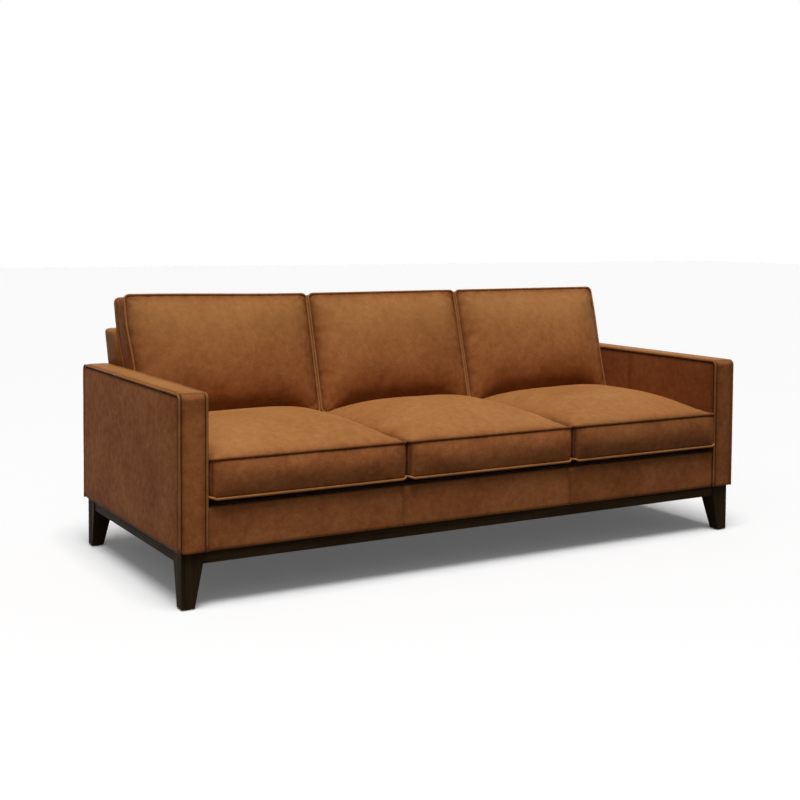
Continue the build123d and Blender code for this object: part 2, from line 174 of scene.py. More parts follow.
def finishShader(material, colour, roughness, height, strength, distance, **constants):
    shader = addNode(material, "ShaderNodeBsdfPrincipled", constants)
    output = addNode(material, "ShaderNodeOutputMaterial")
    bump = addNode(material, "ShaderNodeBump", {"Strength": strength, "Distance": distance})
    link(material, colour, shader.inputs["Base Color"])
    link(material, roughness, shader.inputs["Roughness"])
    link(material, height, bump.inputs["Height"])
    link(material, bump.outputs["Normal"], shader.inputs["Normal"])
    link(material, shader.outputs["BSDF"], output.inputs["Surface"])
    return material


noiseSpan = {"From Min": 0.3, "From Max": 0.7}   # where most of a noise pattern lies


def spreadNode(material, value, low, high):
    node = addNode(material, "ShaderNodeMapRange", {**noiseSpan, "To Min": low, "To Max": high})
    link(material, value, node.inputs["Value"])
    return node.outputs["Result"]


def attributeNode(material, name):
    return addNode(material, "ShaderNodeAttribute", attribute_name=name).outputs["Fac"]


# leather: brown pull-up hide, mottled, with a fine pebble grain and painted shade at its seams; a redder copy
# of the hide stands for unworn hide and shaded faces, a lighter one for worn hide and lit tops
leatherSettings = {
    "unwornAndShaded": ((0.268, 0.082, 0.025), (0.385, 0.130, 0.042), (0.486, 0.184, 0.064)),
    "wornAndLit": ((0.338, 0.137, 0.040), (0.400, 0.172, 0.055), (0.455, 0.206, 0.072)),
    "stops": (0.36, 0.50, 0.64),
    "seamShade": 0.55,
    "patterns": {   # scale, detail, roughness and distortion
        "clouds": (5.0, 3.0, 0.5, 0.4),
        "blotches": (42.0, 6.0, 0.62, 0.3),
        "specks": (210.0, 3.0, 0.6, 0.0),
        "creases": (34.0, 5.0, 0.65, 1.2),
    },
    "mottle": {"clouds": 0.34, "blotches": 0.40, "specks": 0.26},
    "grain": 520.0,
    "relief": {"grain": -0.35, "creases": 1.4},
    "roughness": (0.60, 0.46),
    "bump": (0.35, 0.0016),   # strength and distance
    "specular": 0.015,
}


def leatherMaterial(name, offset, depth):
    # depth: how light or dark a hide is where it isn't worn, and so on its shaded faces; lower on the
    # right-hand pieces for painted shade, higher on the left arm for painted light
    settings = leatherSettings
    material = newMaterial(name)
    place = objectPlace(material, offset)
    patterns = {}
    for pattern, values in settings["patterns"].items():
        patterns[pattern] = noiseNode(material, place, *values)
    shares = [(patterns[pattern], weight) for pattern, weight in settings["mottle"].items()]
    mottle = weightedSum(material, *shares)
    unwornAndShadedTones = [tuple(channel * depth for channel in tone) for tone in settings["unwornAndShaded"]]
    unwornAndShaded = rampNode(material, mottle, settings["stops"], unwornAndShadedTones)
    wornAndLit = rampNode(material, mottle, settings["stops"], settings["wornAndLit"])
    hide = addNode(material, "ShaderNodeMix", data_type="RGBA")
    # the mask picks the lighter tones for wear and for painted light on lit tops, the redder ones for shaded
    # faces
    link(material, attributeNode(material, "wear_and_painted_light"), hide.inputs[0])
    link(material, unwornAndShaded, hide.inputs[6])   # a colour mix: colours in at 6 and 7, out at 2
    link(material, wornAndLit, hide.inputs[7])
    # painted shade: the seam attribute darkens the hide near seams, in creases and beside piping
    darker = mathNode(material, "MULTIPLY", attributeNode(material, "seam"), settings["seamShade"])
    shaded = addNode(material, "ShaderNodeVectorMath", operation="SCALE")
    link(material, hide.outputs[2], shaded.inputs[0])
    link(material, mathNode(material, "SUBTRACT", 1.0, darker), shaded.inputs["Scale"])
    grain = addNode(material, "ShaderNodeTexVoronoi", {"Scale": settings["grain"]}, feature="SMOOTH_F1")
    link(material, place, grain.inputs["Vector"])
    relief = settings["relief"]
    height = weightedSum(material, (grain.outputs["Distance"], relief["grain"]),
                         (patterns["creases"], relief["creases"]))
    roughness = spreadNode(material, patterns["blotches"], *settings["roughness"])
    return finishShader(material, shaded.outputs[0], roughness, height, *settings["bump"],
                        **{"Specular IOR Level": settings["specular"]})


# wood: dark espresso stain on the base and bare timber inside, with the grain along the piece
woodSettings = {
    "base": {"dark": (0.018, 0.010, 0.005), "light": (0.058, 0.036, 0.016)},
    "frame": {"dark": (0.42, 0.27, 0.13), "light": (0.62, 0.44, 0.24)},
    "long": 1.6,
    "across": 38.0,
    "shift": (0.3, 0.1, 0.7),
    "grain": (1.0, 6.0, 0.6, 0.8),   # scale, detail, roughness and distortion
    "pores": (5.0, 3.0, 0.6, 0.0),
    "weights": (0.7, 0.3),
    "stops": (0.32, 0.68),
    "roughness": (0.52, 0.38),
    "bump": (0.25, 0.0006),
    "specular": 0.012,
}


def woodMaterial(name, grainAxis, dark, light):
    settings = woodSettings
    material = newMaterial(name)
    stretch = [settings["across"]] * 3
    stretch[grainAxis] = settings["long"]
    place = objectPlace(material, settings["shift"], tuple(stretch))
    grain = noiseNode(material, place, *settings["grain"])
    pores = noiseNode(material, place, *settings["pores"])
    both = weightedSum(material, *zip((grain, pores), settings["weights"]))
    colour = rampNode(material, both, settings["stops"], (dark, light))
    roughness = spreadNode(material, grain, *settings["roughness"])
    return finishShader(material, colour, roughness, both, *settings["bump"],
                        **{"Specular IOR Level": settings["specular"]})


# steel and plastic: a fine pattern over a broad one
grainySettings = {
    "fine": (5.0, 0.6),   # detail and roughness
    "broad": (3.0, 0.5),
    "broader": 14,   # how many times larger the broad pattern is
    "weights": (0.6, 0.4),
    "stops": (0.35, 0.65),
    "bump": 0.4,
}


def grainyMaterial(name, dark, light, scale, roughness, depth, metallic=0.0):
    settings = grainySettings
    material = newMaterial(name)
    place = objectPlace(material)
    fine = noiseNode(material, place, scale, *settings["fine"])
    broad = noiseNode(material, place, scale / settings["broader"], *settings["broad"])
    both = weightedSum(material, *zip((fine, broad), settings["weights"]))
    colour = rampNode(material, both, settings["stops"], (dark, light))
    rough = spreadNode(material, fine, *roughness)
    return finishShader(material, colour, rough, fine, settings["bump"], depth, Metallic=metallic)


# cloth: threads that cross
wovenSettings = {
    "distortion": 0.4,
    "patches": (9.0, 4.0),   # scale and detail
    "weights": (0.6, 0.4),
    "stops": (0.15, 0.75),
    "roughness": (0.95, 0.82),
    "bump": (0.4, 0.0006),
}


def wovenMaterial(name, dark, light, threads):
    settings = wovenSettings
    material = newMaterial(name)
    place = objectPlace(material)
    waves = []
    spacing = {"Scale": threads, "Distortion": settings["distortion"]}
    for direction in ("X", "Y"):
        wave = addNode(material, "ShaderNodeTexWave", spacing, bands_direction=direction)
        link(material, place, wave.inputs["Vector"])
        waves.append(wave.outputs["Fac"])
    weave = mathNode(material, "MULTIPLY", *waves)
    patches = noiseNode(material, place, *settings["patches"])
    both = weightedSum(material, *zip((weave, patches), settings["weights"]))
    colour = rampNode(material, both, settings["stops"], (dark, light))
    roughness = spreadNode(material, patches, *settings["roughness"])
    return finishShader(material, colour, roughness, weave, *settings["bump"])


# one hide for each piece or pair of pieces, with its depth of colour; the lower depths on the right-hand
# pieces are painted shade, the higher one on the left arm painted light
hideDepthsAndSideShade = {
    "seat_left": 0.98, "seat_middle": 0.98, "seat_right": 0.76,
    "back_left": 1.0, "back_middle": 1.0, "back_right": 1.0,
    "arm_left": 1.08, "arm_right": 0.78,
    "rail_left": 1.0, "rail_middle": 0.98, "rail_right": 0.84,
    "back_frame": 1.0,
}
hideShift = (3.1, 1.7, 2.3)   # moves the mottle from hide to hide
grainyFinishes = {
    "spring_steel": {"dark": (0.30, 0.29, 0.28), "light": (0.52, 0.51, 0.50), "scale": 90.0,
                     "roughness": (0.42, 0.3), "depth": 0.0002, "metallic": 1.0},
    "glide_plastic": {"dark": (0.016, 0.016, 0.017), "light": (0.034, 0.034, 0.036), "scale": 300.0,
                      "roughness": (0.6, 0.5), "depth": 0.0002},
}
wovenFinishes = {
    "deck_fabric": {"dark": (0.055, 0.035, 0.022), "light": (0.115, 0.075, 0.048), "threads": 210.0},
    "cambric": {"dark": (0.010, 0.010, 0.011), "light": (0.035, 0.035, 0.037), "threads": 240.0},
}
leathers = {
    name: leatherMaterial(f"leather_{name}", tuple(number * step for step in hideShift), depth)
    for number, (name, depth) in enumerate(hideDepthsAndSideShade.items())
}
baseWoods = [
    woodMaterial(f"base_wood_{axis}", index, **woodSettings["base"])
    for index, axis in enumerate("xyz")
]
insideFinishes = {"frame_wood": woodMaterial("frame_wood", 0, **woodSettings["frame"])}
for name, finish in grainyFinishes.items():
    insideFinishes[name] = grainyMaterial(name, **finish)
for name, finish in wovenFinishes.items():
    insideFinishes[name] = wovenMaterial(name, **finish)
print("materials made")


# mesh helpers
tiny = 1e-5   # metres, for merging and for telling places apart


def addPiece(name, bm, body, material, nodes=(), smooth=True):
    bmesh.ops.recalc_face_normals(bm, faces=bm.faces[:])
    mesh = bpy.data.meshes.new(name)
    bm.to_mesh(mesh)
    bm.free()
    piece = bpy.data.objects.new(name, mesh)
    scene.collection.objects.link(piece)
    mesh.materials.append(material)
    for face in mesh.polygons:
        face.use_smooth = smooth
    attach(piece, body)
    if nodes:
        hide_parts(*nodes)
    return piece


def refine(piece):
    modifier = piece.modifiers.new("refine", "SUBSURF")
    modifier.levels = 1
    modifier.render_levels = 1


def vertsOf(items):
    return [item for item in items if isinstance(item, bmesh.types.BMVert)]


def wholeMesh(bm):
    return bm.verts[:] + bm.edges[:] + bm.faces[:]


def leatherLayers(bm):
    # what the leather reads: painted shade near seams and in creases, and how much lighter the hide is, for
    # wear and for painted light
    return bm.verts.layers.float.new("seam"), bm.verts.layers.float.new("wear_and_painted_light")


def tube(name, runs, radius, body, material, tone, closed=True, nodes=()):
    # piping: one or more round runs, in one piece; tone gives its wear and its painted shade
    curve = bpy.data.curves.new(name, "CURVE")
    curve.dimensions = "3D"
    curve.bevel_depth = radius
    curve.bevel_resolution = 3
    curve.use_fill_caps = not closed
    for run in runs:
        spline = curve.splines.new("POLY")
        spline.points.add(len(run) - 1)
        for point, place in zip(spline.points, run):
            point.co = (*place, 1)
        spline.use_cyclic_u = closed
    route = bpy.data.objects.new(name + "_route", curve)
    scene.collection.objects.link(route)
    bpy.context.view_layer.update()
    bm = bmesh.new()
    bm.from_mesh(bpy.data.meshes.new_from_object(route))
    bpy.data.objects.remove(route)
    bmesh.ops.remove_doubles(bm, verts=bm.verts[:], dist=tiny)
    paintedShadeLayer, wearAndLightLayer = leatherLayers(bm)
    for vert in bm.verts:
        vert[wearAndLightLayer], vert[paintedShadeLayer] = tone
    addPiece(name, bm, body, material, nodes)


seedStep = 7.3   # takes each seed to its own part of the noise


def ripple(place, size, seed):
    return noise.noise(Vector((place[0] / size, place[1] / size, place[2] / size + seed * seedStep)))


def smoothStep(low, high, value):
    share = min(max((value - low) / (high - low), 0.0), 1.0)
    return share * share * (3 - 2 * share)


def easedShare(share, even):
    # a share from -1 to 1 moves towards its nearer end, which makes a grid finer there
    return even * share + (1 - even) * math.sin(share * math.pi / 2)


def faceOut(bm, facing):
    # turns an open sheet's faces outwards, judged by the one that lies furthest out
    bmesh.ops.recalc_face_normals(bm, faces=bm.faces[:])
    bm.normal_update()
    outermost = max(bm.faces, key=lambda face: face.calc_center_median().dot(facing))
    if outermost.normal.dot(facing) < 0:
        bmesh.ops.reverse_faces(bm, faces=bm.faces[:])


# loose cushions: two padded panels sewn to a boxing strip, with piping in both seams
seatCushion = {
    "half": (0.3275, 0.3490),
    "firstSeed": 1,
    "belly": 0.027,
    "boxing": 0.117,
    "crown": 0.060,
    "plumpLimit": 0.022,
    "crownPower": (4.0, 3.0),
    "edgeRoll": (0.005, 0.005),
    "rollReach": (0.022, 0.022),
    "cornerFold": 0.0030,
    "apex": {"left": 0.0, "middle": 0.0, "right": 0.0},
    "bellyPower": (7.0, 7.0),
    "sideBulge": 0.0052,
    "endBulge": 0.0140,
    "corner": 0.013,
    "across": 56,
    "along": 58,
    "boxingCuts": 9,
    "welt": 0.0040,
    "seamReach": 0.010,
    "pucker": 0.0016,
    "rearRise": 0.0,
    "cornerSag": 0.0,
    "cornerLift": 0.0050,
    "sideCreaseShade": (0.0, 0.010),
    "lowerShade": 0.0,
    "tuck": {"shade": 0.0, "begin": 0.0, "curve": 0.0, "over": 1.0},
    # piping wear and painted shade: the upper piping is darkened as if in shadow
    "weltWearAndShade": {"front": (0.2, 0.75), "rear": (0.9, 0.0)},
    "lean": {"left": 0.0, "middle": 0.0, "right": 0.0},
    "squeeze": {"left": (0.0, 0.009), "middle": (0.009, 0.003), "right": (0.003, 0.0)},
}
backCushion = {
    "half": (0.3272, 0.2085),
    "rearMiddle": (0.3230, 0.6467),   # y and z of the middle of its rear
    "firstSeed": 4,
    "belly": 0.014,
    "boxing": 0.100,
    "crown": 0.056,
    "plumpLimit": 0.010,
    "crownPower": (3.4, 2.1),
    "edgeRoll": (0.011, 0.022),
    "rollReach": (0.026, 0.075),
    "cornerFold": 0.0016,
    "apex": {"left": -0.10, "middle": -0.10, "right": -0.20},
    "bellyPower": (6.0, 6.0),
    "sideBulge": 0.0055,
    "endBulge": 0.0030,
    "corner": 0.016,
    "across": 56,
    "along": 40,
    "boxingCuts": 8,
    "welt": 0.0040,
    "seamReach": 0.010,
    "pucker": 0.0014,
    "rearRise": 0.012,
    "cornerSag": 0.022,
    "cornerLift": 0.0,
    # painted shade beside the piping, on the lower face and where the face goes down behind the seat
    "sideCreaseShade": (1.25, 0.012),
    "lowerShade": 0.60,
    "tuck": {"shade": 0.85, "begin": -0.66, "curve": 0.30, "over": 0.20},
    # piping wear and painted shade
    "weltWearAndShade": {"front": (0.8, 0.10), "rear": (0.6, 0.3)},
    "lean": {"left": 0.010, "middle": 0.0, "right": 0.0},
    "squeeze": {"left": (-0.013, 0.016), "middle": (0.016, -0.010), "right": (-0.010, 0.004)},
}
plump = {"pressure": 4.0, "frames": 20, "slack": -0.006, "tension": 40.0, "bending": 1.5}
cushionDetail = {
    "evenGrid": 0.4,   # share of even spacing in the grid, which is finer towards the seams
    "puffPower": 1.2,   # over 1, the boxing bulges most above its middle
    "calmCorner": (-0.025, 0.060),   # within this reach of a corner the boxing bulges less
    "boxingRipple": (0.35, 0.11),   # strength and size
    "boxingSeed": 3,
    "cornerShade": 0.008,
    "rollPower": 2.2,
    "rollBlend": 0.7,   # the left roll turns into the right one between these shares of u
    "rollEase": 0.03,
    "puckerBand": (0.045, 0.006),   # how far the puckers reach in, and where they begin
    "puckerGain": 2.2,
    "puckerSize": 0.028,
    "wave": (0.004, 0.22),   # height and size
    "wavePower": (4, 4),
    "waveSeed": 5,
    "wearReach": 0.02,
    "lowerShadeSpan": (0.7, -0.3),
    "folds": 6.5,
    "foldBand": (0.045, 0.012),
    "boxingHold": 0.6,
    "pipingOut": 0.0018,
    "pipingLift": {"front": 0.0008, "rear": -0.0008},
}
settleSpans = {   # where each movement begins and where it is full, as shares of a half panel
    "upper": (-0.2, 1.0),
    "leaning": (-1.0, 1.0),
    "sunkSide": (0.5, 1.0),
    "sunkEnd": (0.3, 1.0),
    "liftedSide": (0.95, 1.0),
    "liftedEnd": (0.5, 1.0),
    "aboveArm": (-0.20, 0.60),
    "squeezed": (0.2, 1.0),
}
crownPanel, boxingStrip, bellyPanel = 0, 1, 2   # kept in a face's material index while a shell is made
slope = math.radians(16)
upSlope = Vector((0, math.sin(slope), math.cos(slope)))
forward = Vector((0, -math.cos(slope), math.sin(slope)))


def roundedPlan(bm, half, corner):
    # a unit grid goes out to a rounded rectangle, ring by ring
    for vert in bm.verts:
        u, v = vert.co.x, vert.co.y
        ring = max(abs(u), abs(v))
        radius = corner * ring
        x, y = abs(u) * half[0], abs(v) * half[1]
        turnX, turnY = ring * half[0] - radius, ring * half[1] - radius
        if radius > 0 and x > turnX and y > turnY:
            if abs(u) >= abs(v):
                turn = (y - turnY) / radius * math.pi / 4
            else:
                turn = math.pi / 2 - (x - turnX) / radius * math.pi / 4
            x = turnX + radius * math.cos(turn)
            y = turnY + radius * math.sin(turn)
        vert.co.x = math.copysign(x, u)
        vert.co.y = math.copysign(y, v)


def domeShare(u, v, powers, apex=0.0):
    # one in the middle of a panel and nothing at its edges, with the top moved along v to the apex
    t = (v - apex) / (1 - apex) if v > apex else (v - apex) / (1 + apex)
    return max(0.0, 1 - abs(u) ** powers[0]) * max(0.0, 1 - abs(t) ** powers[1])


def bandShare(gap, reach, begin):
    # nothing at a seam, most a little way in, and fading from there
    return math.exp(-gap / reach) * (1 - math.exp(-gap / begin))


def cornerGather(u, v, half):
    # short folds that fan out from the corner of a panel
    gap = Vector(((1 - abs(u)) * half[0], (1 - abs(v)) * half[1]))
    if gap.length < tiny:
        return 0.0
    fan = math.sin(cushionDetail["folds"] * math.atan2(gap.y, gap.x))
    return fan * bandShare(gap.length, *cushionDetail["foldBand"])


def cushionShell(settings, seed, place):
    bm = bmesh.new()
    bmesh.ops.create_grid(bm, x_segments=settings["across"], y_segments=settings["along"], size=1.0)
    shareU = bm.verts.layers.float.new("shareU")
    shareV = bm.verts.layers.float.new("shareV")
    leatherLayers(bm)
    for vert in bm.verts:
        vert.co.x = easedShare(vert.co.x, cushionDetail["evenGrid"])
        vert.co.y = easedShare(vert.co.y, cushionDetail["evenGrid"])
        vert[shareU] = vert.co.x
        vert[shareV] = vert.co.y
    roundedPlan(bm, settings["half"], settings["corner"])
    for face in bm.faces:
        face.material_index = bellyPanel
    copied = bmesh.ops.duplicate(bm, geom=wholeMesh(bm))["geom"]
    for face in [item for item in copied if isinstance(item, bmesh.types.BMFace)]:
        face.material_index = crownPanel
    for vert in bm.verts:
        vert.co.z = settings["belly"]
    for vert in vertsOf(copied):
        vert.co.z = settings["belly"] + settings["boxing"]
    rims = [edge for edge in bm.edges if edge.is_boundary]
    for face in bmesh.ops.bridge_loops(bm, edges=rims)["faces"]:
        face.material_index = boxingStrip
    uprights = [edge for edge in bm.edges if abs(edge.verts[0].co.z - edge.verts[1].co.z) > tiny]
    bmesh.ops.subdivide_edges(bm, edges=uprights, cuts=settings["boxingCuts"], use_grid_fill=True)
    bmesh.ops.recalc_face_normals(bm, faces=bm.faces[:])
    bm.normal_update()
    swell(bm, settings, seed, place)
    settle(bm, settings, place)
    return bm


def bulgeBoxing(vert, u, v, layers, settings, seed):
    # the strip swells out between its seams, less at the corners, and gets painted shade beside both seams
    # and at its corners
    detail = cushionDetail
    share = (vert.co.z - settings["belly"]) / settings["boxing"]
    out = Vector((vert.normal.x, vert.normal.y, 0)).normalized()
    puff = 1 - (2 * share ** detail["puffPower"] - 1) ** 2
    turnGap = (1 - min(abs(u), abs(v))) * settings["half"][0]
    bulge = settings["sideBulge"] * out.x ** 2 + settings["endBulge"] * out.y ** 2
    bulge *= smoothStep(*detail["calmCorner"], turnGap)
    strength, size = detail["boxingRipple"]
    vert.co += out * bulge * puff * (1 + strength * ripple(vert.co, size, seed + detail["boxingSeed"]))
    seamGap = min(share, 1 - share) * settings["boxing"]
    seamShade = math.exp(-seamGap / settings["seamReach"])
    vert[layers["seam"]] = max(seamShade, math.exp(-turnGap / detail["cornerShade"]))


def crownRise(spot, u, v, edgeGap, settings, seed, place):
    # the dome of a panel, the roll along its sides, and its folds, puckers and waves
    detail = cushionDetail
    rise = settings["crown"] * domeShare(u, v, settings["crownPower"], settings["apex"][place])
    sideGap = (1 - abs(u)) * settings["half"][0]
    rollReach = settings["rollReach"][0 if u < 0 else 1]
    rollShare = 1 - max(0.0, 1 - sideGap / rollReach) ** detail["rollPower"]
    toRight = smoothStep(-detail["rollBlend"], detail["rollBlend"], u)
    edgeRoll = settings["edgeRoll"][0] * (1 - toRight) + settings["edgeRoll"][1] * toRight
    rise += edgeRoll * rollShare * (1 - math.exp(-edgeGap / detail["rollEase"]))
    rise += settings["cornerFold"] * cornerGather(u, v, settings["half"])
    near = bandShare(edgeGap, *detail["puckerBand"])
    rise += settings["pucker"] * near * detail["puckerGain"] * ripple(spot, detail["puckerSize"], seed)
    waveHeight, waveSize = detail["wave"]
    waves = ripple(spot, waveSize, seed + detail["waveSeed"])
    return rise + waveHeight * domeShare(u, v, detail["wavePower"]) * waves


def tintCrown(vert, u, v, edgeGap, layers, settings):
    # worn towards its middle; painted shade darkens its lower part, the crease beside the piping, and where
    # it goes down behind the seat
    lowerShaded = settings["lowerShade"] * smoothStep(*cushionDetail["lowerShadeSpan"], v)
    vert[layers["wear_and_painted_light"]] = (1 - math.exp(-edgeGap / cushionDetail["wearReach"])) * (1 - lowerShaded)
    tuck = settings["tuck"]
    tuckDepth = tuck["begin"] - tuck["curve"] * u ** 4 - v
    tuckShade = tuck["shade"] * smoothStep(0.0, tuck["over"], tuckDepth)
    creaseShade, creaseReach = settings["sideCreaseShade"]
    sideGap = (1 - abs(u)) * settings["half"][0]
    sideShade = creaseShade * math.exp(-sideGap / creaseReach)
    vert[layers["seam"]] = max(vert[layers["seam"]], tuckShade, sideShade)


def swell(bm, settings, seed, place):
    # bulges the boxing between the seams, raises the crown and rounds the belly
    layers = bm.verts.layers.float
    half = settings["half"]
    low = settings["belly"]
    high = low + settings["boxing"]
    for vert in bm.verts:
        u, v = vert[layers["shareU"]], vert[layers["shareV"]]
        if low + tiny < vert.co.z < high - tiny:
            bulgeBoxing(vert, u, v, layers, settings, seed)
            continue
        edgeGap = min((1 - abs(u)) * half[0], (1 - abs(v)) * half[1])
        # painted shade near the panel's seams
        vert[layers["seam"]] = math.exp(-edgeGap / settings["seamReach"])
        if vert.co.z >= high - tiny:
            vert.co.z += crownRise(vert.co, u, v, edgeGap, settings, seed, place)
            tintCrown(vert, u, v, edgeGap, layers, settings)
        else:
            vert.co.z -= settings["belly"] * domeShare(u, v, settings["bellyPower"])


def settle(bm, settings, place):
    # a back cushion's lower corners sink and its rear edge stands higher than its front edge
    # a seat cushion's lower front seam lifts at its ends
    # neighbours squeeze both kinds, beside an arm only above it
    layers = bm.verts.layers.float
    spans = settleSpans
    lean = settings["lean"][place]
    squeeze = settings["squeeze"][place]
    for vert in bm.verts:
        u, v = vert[layers["shareU"]], vert[layers["shareV"]]
        frontShare = min(max((vert.co.z - settings["belly"]) / settings["boxing"], 0.0), 1.0)
        upper = smoothStep(*spans["upper"], v)
        vert.co.y += settings["rearRise"] * (1 - frontShare) * upper
        vert.co.y += lean * upper * smoothStep(*spans["leaning"], -u)
        sunk = smoothStep(*spans["sunkSide"], abs(u)) * smoothStep(*spans["sunkEnd"], -v)
        vert.co.y -= settings["cornerSag"] * sunk
        lifted = smoothStep(*spans["liftedSide"], abs(u)) * smoothStep(*spans["liftedEnd"], -v)
        vert.co.z += settings["cornerLift"] * (1 - frontShare) * lifted
        aboveArm = smoothStep(*spans["aboveArm"], v)
        leftShare = smoothStep(*spans["squeezed"], -u) * (aboveArm if place == "left" else 1.0)
        rightShare = smoothStep(*spans["squeezed"], u) * (aboveArm if place == "right" else 1.0)
        vert.co.x += squeeze[0] * leftShare + squeeze[1] * rightShare


def plumpUp(cushion, held, limit):
    # cloth under pressure, held at the seams, fills out the panels; the result is kept in the mesh
    group = cushion.vertex_groups.new(name="held")
    for index, weight in enumerate(held):
        group.add([index], weight, "REPLACE")
    modifier = cushion.modifiers.new("plump", "CLOTH")
    cloth = modifier.settings
    cloth.vertex_group_mass = "held"
    cloth.use_pressure = True
    cloth.uniform_pressure_force = plump["pressure"]
    cloth.shrink_min = plump["slack"]
    cloth.tension_stiffness = plump["tension"]
    cloth.compression_stiffness = plump["tension"]
    cloth.bending_stiffness = plump["bending"]
    cloth.effector_weights.gravity = 0
    modifier.collision_settings.use_collision = False
    modifier.point_cache.frame_start = 1
    modifier.point_cache.frame_end = plump["frames"]
    for step in range(1, plump["frames"] + 1):
        scene.frame_set(step)
    shaped = cushion.evaluated_get(bpy.context.evaluated_depsgraph_get())
    moved = [vert.co.copy() for vert in shaped.data.vertices]
    cushion.modifiers.remove(modifier)
    cushion.vertex_groups.remove(group)
    for vert, spot in zip(cushion.data.vertices, moved):
        move = spot - vert.co
        if move.length > limit:
            move *= limit / move.length
        vert.co += move
    scene.frame_set(1)


def seamLoops(bm):
    # the two rings where a panel meets the boxing, each in walking order
    loops = []
    for panel in (crownPanel, bellyPanel):
        edges = {edge for edge in bm.edges
                 if {face.material_index for face in edge.link_faces} == {boxingStrip, panel}}
        first = min(edges, key=lambda edge: edge.index)
        start = first.verts[0]
        vert = first.other_vert(start)
        ring = [start]
        edges.discard(first)
        while vert != start:
            ring.append(vert)
            onward = next(edge for edge in vert.link_edges if edge in edges)
            edges.discard(onward)
            vert = onward.other_vert(vert)
        loops.append([vert.co.copy() for vert in ring])
    return loops


def outwards(ring, amount, lift):
    # moves a flat ring out from its middle along its own normal
    count = len(ring)
    middle = sum(ring, Vector()) / count
    moved = []
    for index, place in enumerate(ring):
        along = ring[(index + 1) % count] - ring[index - 1]
        out = Vector((along.y, -along.x, 0)).normalized()
        if out.dot(place - middle) < 0:
            out = -out
        moved.append(place + out * amount + Vector((0, 0, lift)))
    return moved


def makeCushion(kind, settings, place, placing, number):
    bm = cushionShell(settings, settings["firstSeed"] + number, place)
    bm.edges.index_update()
    loops = seamLoops(bm)
    held = []
    for vert in bm.verts:
        panels = {face.material_index for face in vert.link_faces}
        if bellyPanel in panels or len(panels) > 1:
            held.append(1.0)
        else:
            held.append(cushionDetail["boxingHold"] if boxingStrip in panels else 0.0)
    for face in bm.faces:
        face.material_index = 0
    bmesh.ops.transform(bm, matrix=placing, verts=bm.verts[:])
    body = f"{kind}_{place}"
    leather = leathers[body]
    nodes = (f"{kind}_cushion_{place}", f"{kind}_core_{place}")
    cushion = addPiece(f"{kind}_cushion_cover_{place}", bm, body, leather, nodes)
    plumpUp(cushion, held, settings["plumpLimit"])
    refine(cushion)
    for label, ring in zip(("front", "rear"), loops):
        shifted = outwards(ring, cushionDetail["pipingOut"], cushionDetail["pipingLift"][label])
        points = [placing @ point for point in shifted]
        tube(f"{kind}_cushion_piping_{label}_{place}", [points], settings["welt"], body, leather,
             settings["weltWearAndShade"][label])


def seatPlacing(place):
    low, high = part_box(f"seat_cushion_{place}")
    return Matrix.Translation(((low.x + high.x) / 2, (low.y + high.y) / 2, low.z))


def backPlacing(place):
    low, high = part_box(f"seat_cushion_{place}")
    origin = Vector(((low.x + high.x) / 2, *backCushion["rearMiddle"]))
    turn = Matrix((Vector((1, 0, 0)), upSlope, forward)).transposed().to_4x4()
    return Matrix.Translation(origin) @ turn


for number, place in enumerate(places):
    makeCushion("seat", seatCushion, place, seatPlacing(place), number)
    makeCushion("back", backCushion, place, backPlacing(place), number)
print("cushions made")


# leather sheets over the frame
coverDetail = {
    "waveSize": 0.17,
    "waveEase": 0.03,
    "seamReach": 0.007,
    "wornAndLit": (0.1, 0.9),   # from a face that stands to one that lies
    "cell": 0.014,
}


def sewCover(name, bm, spans, settings, seed, material, nodes):
    # lifts a sheet off its edges along its own normals and thickens it
    # spans give a place's distances to its edges
    detail = coverDetail
    paintedShadeLayer, wearAndLightLayer = leatherLayers(bm)
    bm.normal_update()
    moves = []
    for vert in bm.verts:
        gap = max(min(span(vert.co) for span in spans), 0)
        lift = settings["rise"] * (1 - math.exp(-gap / settings["reach"]))
        wave = settings["wave"] * ripple(vert.co, detail["waveSize"], seed)
        lift += wave * (1 - math.exp(-gap / detail["waveEase"]))
        moves.append((vert, vert.normal * lift))
        # painted shade near the edges; lighter where the sheet faces up, for wear and for painted light from
        # above
        vert[paintedShadeLayer] = math.exp(-gap / detail["seamReach"])
        vert[wearAndLightLayer] = smoothStep(*detail["wornAndLit"], vert.normal.z)
    for vert, move in moves:
        vert.co += move
    bmesh.ops.solidify(bm, geom=bm.faces[:], thickness=settings["thick"])
    return addPiece(name, bm, "frame", material, nodes)


def walkPath(bm, start, steps, spacing):
    # a line of vertices: straight runs to a place, and quarter turns in small steps about a centre
    vert = bmesh.ops.create_vert(bm, co=start)["vert"][0]
    for kind, place, *count in steps:
        if kind == "to":
            vert = bmesh.ops.extrude_vert_indiv(bm, verts=[vert])["verts"][0]
            vert.co = place
        else:
            made = bmesh.ops.spin(bm, geom=[vert], cent=place, axis=(1, 0, 0), angle=-math.pi / 2,
                                  steps=count[0])
            vert = vertsOf(made["geom_last"])[0]
    bmesh.ops.remove_doubles(bm, verts=bm.verts[:], dist=tiny)
    lengths = sorted({round(edge.calc_length(), 5) for edge in bm.edges if edge.calc_length() > spacing})
    for length in lengths:
        runs = [edge for edge in bm.edges if abs(edge.calc_length() - length) < tiny]
        bmesh.ops.subdivide_edges(bm, edges=runs, cuts=int(length / spacing))


